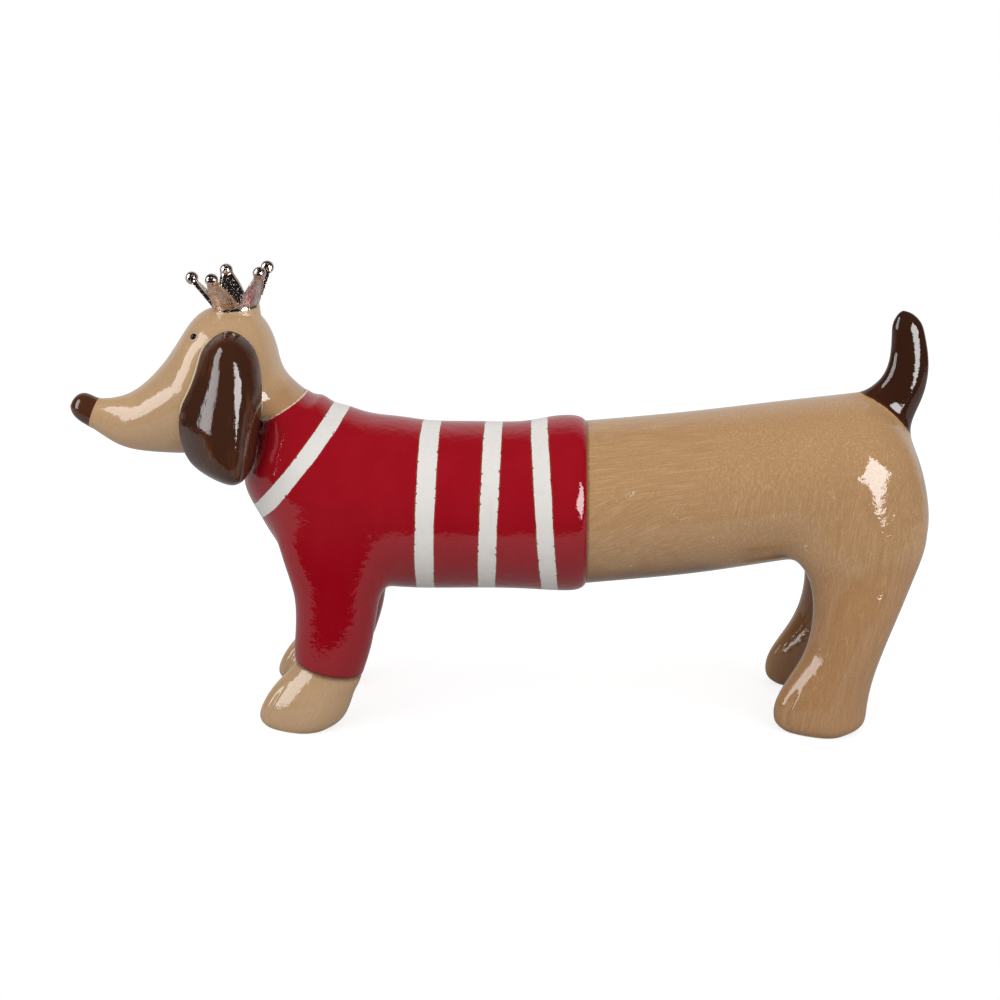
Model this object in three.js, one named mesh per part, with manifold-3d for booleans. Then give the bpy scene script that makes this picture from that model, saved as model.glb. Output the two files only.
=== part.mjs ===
// A glazed earthenware dachshund ornament in a striped sweater, with a small crown.
// Millimetres, +Z up, the head towards -X, the feet on the plane z = 0, the origin midway under it.
//
// Every casting is a skin over oval rings. A ring stands in an upright plane along the dog: x and z
// place its middle, span is its size along a line that leans from +Z towards +X by lean degrees,
// and wide is its size across the dog. Castings are luted edge to edge with slip, so each is cut
// back from its neighbour by the slip joint.
import * as THREE from 'three';
import { mergeVertices } from 'three/addons/utils/BufferGeometryUtils.js';
import Module from 'manifold-3d';

const wasm = await Module();
wasm.setup();

// Sizes that hold all over
const wall = 4; // thickness of a casting
const slipJoint = 0.3; // gap that the slip fills between two castings
const ventRadius = 3; // holes that let steam out of the hollow castings
const footSpread = 45; // between the middles of a pair of feet

// The sweater: a bent tube from the collar over the chest to the rolled hem. The rings of the
// chest are measured from the middle of the collar.
const barrel = { axis: 71, span: 56.7, wide: 58 };
const collar = { x: -72.4, z: 105.2, span: 17, wide: 19, lean: 60 };
const shoulder = { x: 1.4, z: -5.5, span: 27.4, wide: 29, lean: 54 };
const breast = { x: 1.6, z: -12.4, span: 39.4, wide: 42, lean: 50 };
const chest = { x: 6, z: -18.7, span: 46.3, wide: 51, lean: 40 };
const brisket = { x: 14, z: -26.5, span: 54.4, wide: 56, lean: 31 };
const ribs = { x: 28.2, z: -31.8, span: 57.8, wide: 58, lean: 18 };
const hem = { x: 28, roll: 1.1, rollLength: 8, edge: 0.5, rise: 0.8 };

// The rear body: a tapering barrel that rises to a domed rump
const rearFront = { span: 54.8, wide: 56.4 };
const loin = { x: 65, z: 75.8, span: 54.4, wide: 57 };
const rump = { x: 117, z: 83.1, span: 52.2, wide: 60, dome: 26.66, sag: 21 };
const bellyVentX = 62;

// The front legs: sleeves that end in a cuff, and the paws below them. A ring's x is from the
// leg's own x, its drop from the axis of the barrel, and its inset from the middle of the foot
// towards the middle of the dog.
const frontLegX = -57.4;
const sleeveRoot = { x: 4, drop: -4, inset: 6.5, span: 26, wide: 20 };
const sleeveShoulder = { x: 3.6, drop: 9, inset: 4.4, span: 36, wide: 24.5 };
const armpit = { x: 5, drop: 20, inset: 2, span: 34.4, wide: 27 };
const upperArm = { x: 4.3, drop: 28, inset: 0.7, span: 29, wide: 26.2 };
const forearm = { x: 2.4, z: 28.5, span: 25.7, wide: 24.6 };
const cuff = { x: 0.7, z: 20.2, span: 23, wide: 23.6, lean: 101 };
const ankle = { span: 22.4, wide: 22.6 };
const instep = { x: -3.2, z: 14, span: 25.6, wide: 23.6, lean: 97 };
const paw = { x: -6.9, z: 7.4, span: 29.2, wide: 25 };
const toes = { x: -8.8, z: 2.6, span: 27.6, wide: 24 };
const sole = { x: -9.8, span: 21.2, wide: 20 };
const pawFloor = 5.5;

// The hind legs, with their paws in one casting. A ring's x and drop are from the middle of the rump.
const hipRoot = { x: -1, drop: -8, inset: 10, span: 28, wide: 16 };
const hip = { x: -0.4, drop: 6, inset: 7.4, span: 41, wide: 24 };
const haunch = { x: 0.4, drop: 18, inset: 5.2, span: 44.6, wide: 28 };
const thigh = { x: 2.3, drop: 30.6, inset: 2.4, span: 35.4, wide: 27.4 };
const hock = { x: 1.3, z: 41, span: 28.4, wide: 25.6 };
const shin = { x: -3.2, z: 25, span: 25.6, wide: 24.6 };
const hindAnkle = { x: -7.1, z: 16, span: 28.2, wide: 24.8 };
const hindPaw = { x: -9.7, z: 7, span: 30.6, wide: 25.4 };
const hindToes = { x: -10, z: 2.6, span: 29, wide: 24.2 };
const hindSole = { x: -10.8, span: 21.4, wide: 20 };

// The head, measured from the middle of the collar
const neck = { span: 16.6, wide: 18.6 };
const nape = { x: -4.6, z: 1.8, span: 20.2, wide: 22, lean: 36 };
const occiput = { x: -7.3, z: 5.1, span: 29.9, wide: 27.5, lean: 21 };
const crownBack = { x: -11.5, z: 9.1, span: 42.7, wide: 34, lean: 11.6 };
const skull = { x: -18.6, z: 9, span: 48.6, wide: 36.4, lean: 7 };
const brow = { x: -28.9, z: 7.1, span: 47.8, wide: 34.4, lean: 6.7 };
const cheek = { x: -36.2, z: 3.4, span: 40.6, wide: 29.4, lean: 9.9 };
const stop = { x: -45.6, z: -1.7, span: 29.4, wide: 22.4, lean: 18.5 };
const muzzle = { x: -55.2, z: -4.7, span: 17, wide: 15.4, lean: 20.9 };
const noseEnd = { x: -63.7, z: -3.2, span: 9.6, wide: 10, lean: 20 };
const nose = { bulge: 0.3, length: 7.8, bridge: 3, rise: 1.4, tilt: 8 };
const eye = { radius: 1.05, depth: 2, back: 1.7, height: 17.6, dome: 0.5, turn: -0.4 };

// The ears hang from the sides of the skull. A ring's x and drop are from the ear's own top.
const earPlace = { x: 4.2, z: 18.9, gap: 0.2, flare: 5.6 };
const earTop = { x: -0.2, drop: 3, span: 12.8, wide: 5.6 };
const earShoulder = { x: -1.6, drop: 9.4, span: 19.6, wide: 8.2 };
const earUpper = { x: -2.8, drop: 17.6, span: 24.4, wide: 9.6 };
const earMiddle = { x: -4.2, drop: 27.4, span: 26.6, wide: 9.8 };
const earLower = { x: -5.3, drop: 34.8, span: 25.4, wide: 9.6 };
const earLobe = { x: -4.6, drop: 42.4, span: 20.4, wide: 8.4 };
const earTip = { x: -2.6, drop: 46.6, span: 14.4, wide: 6.2 };
const earCap = 2.6;

// The crown, measured from the top of the skull
const crown = { points: 5, baseRadius: 6.9, tipRadius: 13.4, height: 10.7, thick: 1.5, lean: -7, turn: 33.5 };
const crownSeat = { x: 0.8, z: -0.3, skirt: 6 };
const crownPoint = { tipWidth: 3, valley: 2, ball: 2.05 };

// The tail is a horn that curls forward. Its root is placed from the middle of the rump, and its
// other rings from the root.
const tailRoot = { x: 12, z: 22.9, span: 18.4, wide: 15, lean: 119 };
const tailInside = { x: -3, z: -6, span: 23, wide: 19, lean: 125 };
const tailLow = { x: 3.7, z: 5.9, span: 15.3, wide: 12.6, lean: 110 };
const tailMiddle = { x: 5.7, z: 14.3, span: 13, wide: 10.8, lean: 97 };
const tailHigh = { x: 5.2, z: 22.3, span: 11, wide: 9.3, lean: 93 };
const tailTip = { x: 4, z: 27.9, span: 7.4, wide: 6.6, lean: 80 };
const tailCap = 3.1;

const level = { lean: 90 }; // a ring that lies level, as a slice of a leg does
const upright = { lean: 0 };
const rad = THREE.MathUtils.degToRad;
const mix = THREE.MathUtils.lerp;

// Glazes
function glaze(name, color, roughness, metalness = 0) {
  return new THREE.MeshStandardMaterial({ name, color, roughness, metalness });
}
const tanGlaze = glaze('tan_glaze', '#b48c5f', 0.15);
const redGlaze = glaze('red_glaze', '#a01420', 0.12);
const brownGlaze = glaze('brown_glaze', '#3d1d10', 0.1);
const blackGlaze = glaze('black_glaze', '#0b0908', 0.08);
const lustre = glaze('silver_lustre', '#b9a39a', 0.12, 1);

// The same ring measured from another place.
function from(origin, ring) {
  return { ...ring, x: origin.x + ring.x, y: origin.y || 0, z: origin.z + ring.z };
}

// Moves a ring square to itself, the way that its casting runs.
function along(ring, distance) {
  const lean = rad(ring.lean);
  return { ...ring, x: ring.x - Math.cos(lean) * distance, z: ring.z + Math.sin(lean) * distance };
}

// A closed skin over rings. One smooth curve carries the middles, and another the sizes and leans.
// grow offsets the skin, and a dome rounds off an end over the length given for it.
function skin(rings, { sides = 24, steps = 20, grow = 0, startDome = 0, endDome = 0, sag = 0 } = {}) {
  const middles = new THREE.CatmullRomCurve3(rings.map((r) => new THREE.Vector3(r.x, r.y || 0, r.z)));
  const sizes = new THREE.CatmullRomCurve3(rings.map((r) => new THREE.Vector3(r.span, r.wide, r.lean)));
  const domeSteps = 5;
  const outline = [];
  const place = (t, scale, ahead, drop) => {
    const at = middles.getPoint(t).addScaledVector(middles.getTangent(t), ahead);
    at.z -= drop;
    const size = sizes.getPoint(t);
    const span = (size.x / 2 + grow) * scale;
    const wide = (size.y / 2 + grow) * scale;
    outline.push({ at, span, wide, lean: rad(size.z) });
  };
  const dome = (t, length) => {
    const turns = Array.from({ length: domeSteps }, (_, i) => (Math.PI / 2) * ((i + 1) / domeSteps));
    const ordered = t === 0 ? turns.reverse() : turns;
    for (const turn of ordered) {
      const ahead = (length + grow) * Math.sin(turn) * (t === 0 ? -1 : 1);
      place(t, Math.cos(turn), ahead, sag * (1 - Math.cos(turn)));
    }
  };
  if (startDome) dome(0, startDome);
  for (let i = 0; i <= steps; i++) place(i / steps, 1, 0, 0);
  if (endDome) dome(1, endDome);
  const position = [];
  for (const ring of outline) {
    for (let k = 0; k < sides; k++) {
      const turn = (2 * Math.PI * k) / sides;
      const up = Math.cos(turn) * ring.span;
      position.push(
        ring.at.x + Math.sin(ring.lean) * up,
        ring.at.y + Math.sin(turn) * ring.wide,
        ring.at.z + Math.cos(ring.lean) * up,
      );
    }
  }
  position.push(...outline[0].at.toArray(), ...outline[outline.length - 1].at.toArray());
  const index = [];
  const startPole = outline.length * sides;
  const lastRing = startPole - sides;
  for (let k = 0; k < sides; k++) {
    const next = (k + 1) % sides;
    index.push(startPole, k, next);
    for (let a = 0; a < lastRing; a += sides) {
      const b = a + sides;
      index.push(a + k, b + k, a + next, a + next, b + k, b + next);
    }
    index.push(startPole + 1, lastRing + next, lastRing + k);
  }
  const geometry = new THREE.BufferGeometry();
  geometry.setAttribute('position', new THREE.Float32BufferAttribute(position, 3));
  geometry.setIndex(index);
  return geometry;
}

// A geometry as a solid, turned the right way out.
function solid(geometry, matrix = new THREE.Matrix4()) {
  const plain = geometry.clone().applyMatrix4(matrix);
  plain.deleteAttribute('normal');
  plain.deleteAttribute('uv');
  const merged = mergeVertices(plain, 1e-4);
  const triVerts = new Uint32Array(merged.index.array);
  const vertProperties = merged.attributes.position.array;
  const made = new wasm.Manifold(new wasm.Mesh({ numProp: 3, vertProperties, triVerts }));
  if (made.volume() > 0) return made;
  triVerts.reverse();
  return new wasm.Manifold(new wasm.Mesh({ numProp: 3, vertProperties, triVerts }));
}

// The mesh of a solid's largest body, so that a cut leaves no crumb.
function mesh(name, shape, material) {
  const body = shape.decompose().reduce((a, b) => (a.volume() > b.volume() ? a : b));
  const made = body.getMesh();
  const geometry = new THREE.BufferGeometry();
  geometry.setAttribute('position', new THREE.Float32BufferAttribute(made.vertProperties, 3));
  geometry.setIndex(new THREE.BufferAttribute(made.triVerts, 1));
  geometry.computeVertexNormals();
  const node = new THREE.Mesh(geometry, material);
  node.name = name;
  return node;
}

// A round rod from one point to another.
function rod(start, end, radius) {
  const way = new THREE.Vector3().subVectors(end, start);
  const turn = new THREE.Quaternion().setFromUnitVectors(new THREE.Vector3(0, 1, 0), way.clone().normalize());
  const middle = new THREE.Vector3().addVectors(start, end).multiplyScalar(0.5);
  const place = new THREE.Matrix4().compose(middle, turn, new THREE.Vector3(1, 1, 1));
  return solid(new THREE.CylinderGeometry(radius, radius, way.length(), 16), place);
}

// Rings of the sweater, from the collar back to the hem. beyond lengthens both ends.
function sweaterRings(beyond = 0) {
  const tube = { ...upright, ...barrel, z: barrel.axis };
  const hemTube = { ...tube, z: barrel.axis + hem.rise };
  const roll = { ...hemTube, span: barrel.span + 2 * hem.roll, wide: barrel.wide + 2 * hem.roll };
  const edge = { ...hemTube, span: rearFront.span + 2 * hem.edge, wide: rearFront.wide + 2 * hem.edge };
  const ribsX = collar.x + ribs.x;
  return [
    along(collar, beyond),
    from(collar, shoulder),
    from(collar, breast),
    from(collar, chest),
    from(collar, brisket),
    from(collar, ribs),
    { ...tube, x: mix(ribsX, hem.x, 0.3), lean: ribs.lean / 2 },
    { ...tube, x: mix(ribsX, hem.x, 0.55) },
    { ...tube, x: hem.x - 2 * hem.rollLength },
    { ...roll, x: hem.x - hem.rollLength },
    { ...roll, x: hem.x - 0.4 * hem.rollLength },
    { ...edge, x: hem.x + beyond },
  ];
}

// Rings of the rear body, from the hem back to the start of the rump's dome.
function rearRings(beyond = 0) {
  const front = { ...upright, ...rearFront, x: hem.x + slipJoint - beyond, z: barrel.axis + hem.rise };
  const back = { ...upright, ...rump };
  const between = (a, b, share) => ({
    ...upright,
    x: mix(a.x, b.x, share),
    z: mix(a.z, b.z, share),
    span: mix(a.span, b.span, share),
    wide: mix(a.wide, b.wide, share),
  });
  return [front, between(front, loin, 0.5), { ...upright, ...loin }, between(loin, rump, 0.5), back];
}

function sweaterSkin(grow, beyond) {
  return solid(skin(sweaterRings(beyond), { sides: 26, steps: 22, grow }));
}

function rearSkin(grow, beyond) {
  return solid(skin(rearRings(beyond), { sides: 26, steps: 8, grow, endDome: rump.dome, sag: rump.sag }));
}

// A ring of a leg: side is -1 for the left leg and 1 for the right.
function legRing(ring, side, legX, axis) {
  const y = side * (footSpread / 2 - (ring.inset || 0));
  const z = 'drop' in ring ? axis - ring.drop : ring.z || 0;
  return { ...level, ...ring, x: legX + ring.x, y, z };
}

// Rings of a front leg from inside the body down to the cuff.
function sleeveRings(side, beyond = 0) {
  const rings = [sleeveRoot, sleeveShoulder, armpit, upperArm, forearm, cuff];
  const placed = rings.map((ring) => legRing(ring, side, frontLegX, barrel.axis));
  return [...placed.slice(0, -1), along(placed.at(-1), -beyond)];
}

// Rings of a front paw from the ankle down to its sole.
function pawRings(side) {
  const top = along(legRing({ ...cuff, ...ankle }, side, frontLegX), -slipJoint);
  return [top, ...[instep, paw, toes, sole].map((ring) => legRing(ring, side, frontLegX))];
}

// Rings of a hind leg from inside the rump down to the sole.
function hindLegRings(side) {
  const rings = [hipRoot, hip, haunch, thigh, hock, shin, hindAnkle, hindPaw, hindToes, hindSole];
  return rings.map((ring) => legRing(ring, side, rump.x, rump.z));
}

// Rings of the head from the neck over the skull to the end of the muzzle, about the collar.
function headRings(beyond = 0) {
  const seat = { ...neck, x: 0, z: 0, lean: collar.lean };
  return [along(seat, slipJoint - beyond), nape, occiput, crownBack, skull, brow, cheek, stop, muzzle, noseEnd];
}

function headSkin(grow, beyond) {
  return solid(skin(headRings(beyond), { sides: 26, steps: 22, grow }));
}

function makeSweaterBody() {
  let body = sweaterSkin(0, 0).subtract(sweaterSkin(-wall, wall));
  for (const side of [-1, 1]) {
    const root = legRing(sleeveRoot, side, frontLegX, barrel.axis);
    const end = legRing(forearm, side, frontLegX);
    const top = new THREE.Vector3(root.x, root.y, root.z);
    body = body.subtract(rod(top, new THREE.Vector3(end.x, end.y, end.z), ventRadius));
  }
  return mesh('sweater_body', body, redGlaze);
}

function makeRearBody() {
  let body = rearSkin(0, 0).subtract(rearSkin(-wall, wall));
  for (const side of [-1, 1]) {
    const root = legRing(hipRoot, side, rump.x, rump.z);
    const end = legRing(hock, side, rump.x);
    const top = new THREE.Vector3(root.x, root.y, root.z);
    body = body.subtract(rod(top, new THREE.Vector3(end.x, end.y, end.z), ventRadius));
  }
  const belly = new THREE.Vector3(bellyVentX, 0, loin.z);
  const below = new THREE.Vector3(bellyVentX, 0, 0);
  return mesh('rear_body', body.subtract(rod(belly, below, ventRadius)), tanGlaze);
}

function makeSleeve(name, side) {
  const outer = solid(skin(sleeveRings(side), { sides: 22, steps: 13 }));
  const inner = solid(skin(sleeveRings(side, wall), { sides: 16, steps: 8, grow: -wall }));
  return mesh(name, outer.subtract(sweaterSkin(slipJoint, 0)).subtract(inner), redGlaze);
}

function makePaw(name, side) {
  const outer = solid(skin(pawRings(side), { sides: 22, steps: 12 }));
  const mouth = along(legRing({ ...cuff, ...ankle }, side, frontLegX), wall);
  const bottom = legRing({ ...paw, z: pawFloor }, side, frontLegX);
  const inner = solid(skin([mouth, bottom], { sides: 16, steps: 3, grow: -wall }));
  return mesh(name, outer.subtract(inner), tanGlaze);
}

function makeHindLeg(name, side) {
  const rings = hindLegRings(side);
  const outer = solid(skin(rings, { sides: 22, steps: 20 }));
  const inner = solid(skin(rings.slice(0, -2), { sides: 16, steps: 10, grow: -wall }));
  return mesh(name, outer.subtract(rearSkin(slipJoint, 0)).subtract(inner), tanGlaze);
}

// Where an eye sits: a point on the side of the brow, and the way that its pit faces.
function eyePlace(side) {
  const up = (2 * eye.height) / brow.span;
  const out = Math.sqrt(1 - up * up);
  const at = new THREE.Vector3(brow.x + eye.back, (side * out * brow.wide) / 2, brow.z + eye.height);
  const facing = new THREE.Vector3(0, (side * out) / brow.wide, up / brow.span).normalize();
  facing.x = eye.turn;
  return { at, facing: facing.normalize() };
}

// A short rod about a point of the skin, reaching in and out along the way that it faces.
function plug({ at, facing }, radius, inward, outward) {
  const start = at.clone().addScaledVector(facing, -inward);
  const end = at.clone().addScaledVector(facing, outward);
  return rod(start, end, radius);
}

function makeHead() {
  const rings = headRings(wall).slice(0, -1);
  let shape = headSkin(0, 0).subtract(solid(skin(rings, { sides: 16, steps: 12, grow: -wall })));
  for (const side of [-1, 1]) {
    shape = shape.subtract(plug(eyePlace(side), eye.radius + slipJoint, eye.depth, eye.depth));
  }
  return mesh('head', shape, tanGlaze);
}

function makeEye(name, side) {
  const bead = plug(eyePlace(side), eye.radius, eye.depth - slipJoint, eye.depth);
  return mesh(name, bead.intersect(headSkin(eye.dome, 0)), blackGlaze);
}

// The nose is a rounded button luted to the end of the muzzle.
function makeNose() {
  const seat = along(noseEnd, slipJoint);
  const bridge = along({ ...noseEnd, lean: nose.tilt }, nose.bridge);
  bridge.z = noseEnd.z + nose.rise;
  bridge.span += 2 * nose.bulge;
  bridge.wide += 2 * nose.bulge;
  const shape = skin([seat, bridge], { sides: 20, steps: 4, endDome: nose.length - nose.bridge });
  return mesh('nose', solid(shape), brownGlaze);
}

// An ear is a thick drop that lies against the skull and stands off the neck at its lower end.
function makeEar(name, side) {
  const rings = [earTop, earShoulder, earUpper, earMiddle, earLower, earLobe, earTip];
  const place = { x: skull.x + earPlace.x, z: skull.z + earPlace.z };
  const placed = rings.map((ring) => ({
    ...level,
    ...ring,
    x: place.x + ring.x,
    y: side * (skull.wide / 2 + earPlace.gap + earPlace.flare * (ring.drop / earTip.drop) ** 2),
    z: place.z - ring.drop,
  }));
  const drop = solid(skin(placed, { sides: 22, steps: 12, startDome: earCap, endDome: earCap }));
  const sweater = sweaterSkin(slipJoint, 0).translate([-collar.x, 0, -collar.z]);
  return mesh(name, drop.subtract(headSkin(slipJoint, 0)).subtract(sweater), brownGlaze);
}

// The crown is a flared ring cut into points, each with a ball on its tip.
function makeCrown() {
  const half = crown.thick / 2;
  const flare = new THREE.QuadraticBezierCurve(
    new THREE.Vector2(crown.baseRadius, 0),
    new THREE.Vector2(mix(crown.baseRadius, crown.tipRadius, 0.35), crown.height / 2),
    new THREE.Vector2(crown.tipRadius, crown.height),
  ).getPoints(4);
  const outside = flare.map((p) => new THREE.Vector2(p.x + half, p.y)).reverse();
  const profile = [
    new THREE.Vector2(crown.baseRadius - half, -crownSeat.skirt),
    ...flare.map((p) => new THREE.Vector2(p.x - half, p.y)),
    ...outside,
    new THREE.Vector2(crown.baseRadius + half, -crownSeat.skirt),
    new THREE.Vector2(crown.baseRadius - half, -crownSeat.skirt),
  ];
  const stand = new THREE.Matrix4().makeRotationX(Math.PI / 2);
  let shape = solid(new THREE.LatheGeometry(profile, 6 * crown.points), stand);
  const gap = (2 * Math.PI * crown.tipRadius) / crown.points - crownPoint.tipWidth;
  const bend = { x: gap * 0.2, y: crown.height * 0.6 };
  const notch = new THREE.Shape();
  notch.moveTo(0, crownPoint.valley);
  notch.quadraticCurveTo(bend.x, bend.y, gap / 2, crown.height);
  notch.lineTo(gap / 2, 2 * crown.height);
  notch.lineTo(-gap / 2, 2 * crown.height);
  notch.lineTo(-gap / 2, crown.height);
  notch.quadraticCurveTo(-bend.x, bend.y, 0, crownPoint.valley);
  const depth = 2 * crown.tipRadius;
  const cutter = new THREE.ExtrudeGeometry(notch, { depth, bevelEnabled: false, curveSegments: 3 });
  const ball = new THREE.SphereGeometry(crownPoint.ball, 10, 7);
  for (let i = 0; i < crown.points; i++) {
    const step = (2 * Math.PI) / crown.points;
    const turn = rad(crown.turn) + i * step;
    const valley = new THREE.Matrix4().makeRotationZ(turn + step / 2 + Math.PI / 2).multiply(stand);
    shape = shape.subtract(solid(cutter, valley));
    const x = crown.tipRadius * Math.cos(turn);
    const y = crown.tipRadius * Math.sin(turn);
    shape = shape.add(solid(ball, new THREE.Matrix4().makeTranslation(x, y, crown.height)));
  }
  const top = { x: skull.x + crownSeat.x, z: skull.z + crownSeat.z };
  const lean = rad(skull.lean);
  const seat = [top.x + (Math.sin(lean) * skull.span) / 2, 0, top.z + (Math.cos(lean) * skull.span) / 2];
  const leaning = shape.rotate([0, crown.lean, 0]).translate(seat);
  return mesh('crown', leaning.subtract(headSkin(slipJoint, 0)), lustre);
}

function makeTail() {
  const root = from(rump, tailRoot);
  const rest = [tailLow, tailMiddle, tailHigh, tailTip].map((ring) => from(root, ring));
  const horn = solid(skin([from(root, tailInside), root, ...rest], { sides: 18, steps: 12, endDome: tailCap }));
  return mesh('tail', horn.subtract(rearSkin(slipJoint, 0)), brownGlaze);
}

// What is on the head is made about the middle of the collar, and moved there as one group.
function makeHeadGroup() {
  const group = new THREE.Group();
  group.position.set(collar.x, 0, collar.z);
  group.add(makeHead(), makeNose(), makeCrown());
  group.add(makeEye('eye_left', -1), makeEye('eye_right', 1));
  group.add(makeEar('ear_left', -1), makeEar('ear_right', 1));
  return group;
}

const dog = new THREE.Group();
dog.add(makeSweaterBody(), makeRearBody(), makeTail(), makeHeadGroup());
for (const [hand, side] of [['left', -1], ['right', 1]]) {
  dog.add(makeSleeve(`front_leg_${hand}`, side));
  dog.add(makePaw(`front_paw_${hand}`, side));
  dog.add(makeHindLeg(`hind_leg_${hand}`, side));
}

export default dog;
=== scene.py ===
import math
import bmesh
import bpy
import numpy as np
from mathutils import Matrix, Vector


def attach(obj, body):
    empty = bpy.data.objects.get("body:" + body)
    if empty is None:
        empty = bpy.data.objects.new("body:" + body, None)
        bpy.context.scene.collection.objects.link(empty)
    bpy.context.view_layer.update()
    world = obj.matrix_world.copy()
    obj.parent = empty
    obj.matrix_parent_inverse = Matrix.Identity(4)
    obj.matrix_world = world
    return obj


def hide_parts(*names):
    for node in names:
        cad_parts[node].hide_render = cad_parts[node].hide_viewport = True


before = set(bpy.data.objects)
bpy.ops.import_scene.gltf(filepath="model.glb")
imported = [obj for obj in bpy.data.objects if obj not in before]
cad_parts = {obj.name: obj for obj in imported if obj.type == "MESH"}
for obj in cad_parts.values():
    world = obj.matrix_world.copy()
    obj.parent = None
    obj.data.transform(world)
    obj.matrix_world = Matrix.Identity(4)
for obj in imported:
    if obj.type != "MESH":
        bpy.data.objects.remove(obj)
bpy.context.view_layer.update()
mm = 0.001  # shapes are worked out in millimetres and stored in metres
leftRight = (("left", -1), ("right", 1))

# Shapes. A casting is a tube of oval rings. A ring stands in an upright plane: x and z place its
# middle, span is its size along a line that leans from +Z towards +X, and wide its size across.


def smoothCurve(rows, knots):
    # Cubic pieces whose slopes and bends meet at every row
    count = len(rows)
    gaps = np.diff(knots)
    system = np.eye(count)
    right = np.zeros_like(rows)
    for i in range(1, count - 1):
        system[i, i - 1:i + 2] = gaps[i - 1], 2 * (gaps[i - 1] + gaps[i]), gaps[i]
        right[i] = 6 * ((rows[i + 1] - rows[i]) / gaps[i] - (rows[i] - rows[i - 1]) / gaps[i - 1])
    bends = np.linalg.solve(system, right)

    def at(t):
        i = np.clip(np.searchsorted(knots, t, side="right") - 1, 0, count - 2)
        gap = gaps[i][:, None]
        after = (t - knots[i])[:, None] / gap
        before = 1 - after
        bent = (before ** 3 - before) * bends[i] + (after ** 3 - after) * bends[i + 1]
        return before * rows[i] + after * rows[i + 1] + bent * gap ** 2 / 6

    return at


sampling = {"places": 500, "cell": 0.5, "room": 12}


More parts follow.
